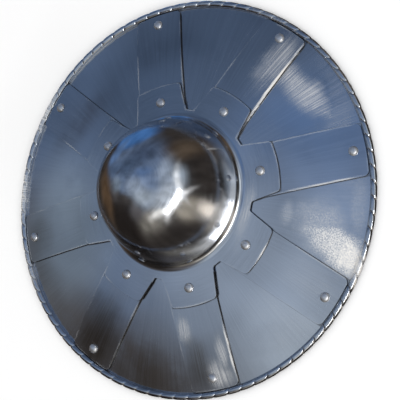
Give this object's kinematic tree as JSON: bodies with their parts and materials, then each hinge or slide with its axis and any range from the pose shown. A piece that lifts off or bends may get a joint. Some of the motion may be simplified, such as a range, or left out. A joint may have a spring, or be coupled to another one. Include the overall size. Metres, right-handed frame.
{
  "type": "buckler shield",
  "caption": "Small round dished steel shield with a roped rim, radial straps riveted to its face, a deep fist boss on a tabbed flange and a bar grip behind it.",
  "frame": {"origin": "the point of the floor under the middle of the disc, with the shield lying face up on its rim", "axes": "+Z out of the shield's face, along the disc's axis. +X along the first strap and along the grip."},
  "size_m": [0.36, 0.36, 0.1082],
  "materials": {
    "polished_steel": "polished by hand, with fine brush marks and cloudy streaks",
    "rivet_steel": "polished domed heads",
    "forged_steel": "plain forged and wire brushed"
  },
  "bodies": {
    "root": {"disc": "polished_steel", "boss": "polished_steel", "strap_1": "polished_steel", "strap_2": "polished_steel", "strap_3": "polished_steel", "strap_4": "polished_steel", "strap_5": "polished_steel", "strap_6": "polished_steel", "strap_7": "polished_steel", "strap_8": "polished_steel", "rim_rivet_1": "rivet_steel", "rim_rivet_2": "rivet_steel", "rim_rivet_3": "rivet_steel", "rim_rivet_4": "rivet_steel", "rim_rivet_5": "rivet_steel", "rim_rivet_6": "rivet_steel", "rim_rivet_7": "rivet_steel", "rim_rivet_8": "rivet_steel", "boss_rivet_1": "rivet_steel", "boss_rivet_2": "rivet_steel", "boss_rivet_3": "rivet_steel", "boss_rivet_4": "rivet_steel", "boss_rivet_5": "rivet_steel", "boss_rivet_6": "rivet_steel", "boss_rivet_7": "rivet_steel", "boss_rivet_8": "rivet_steel", "grip": "forged_steel"}
  },
  "joints": []
}
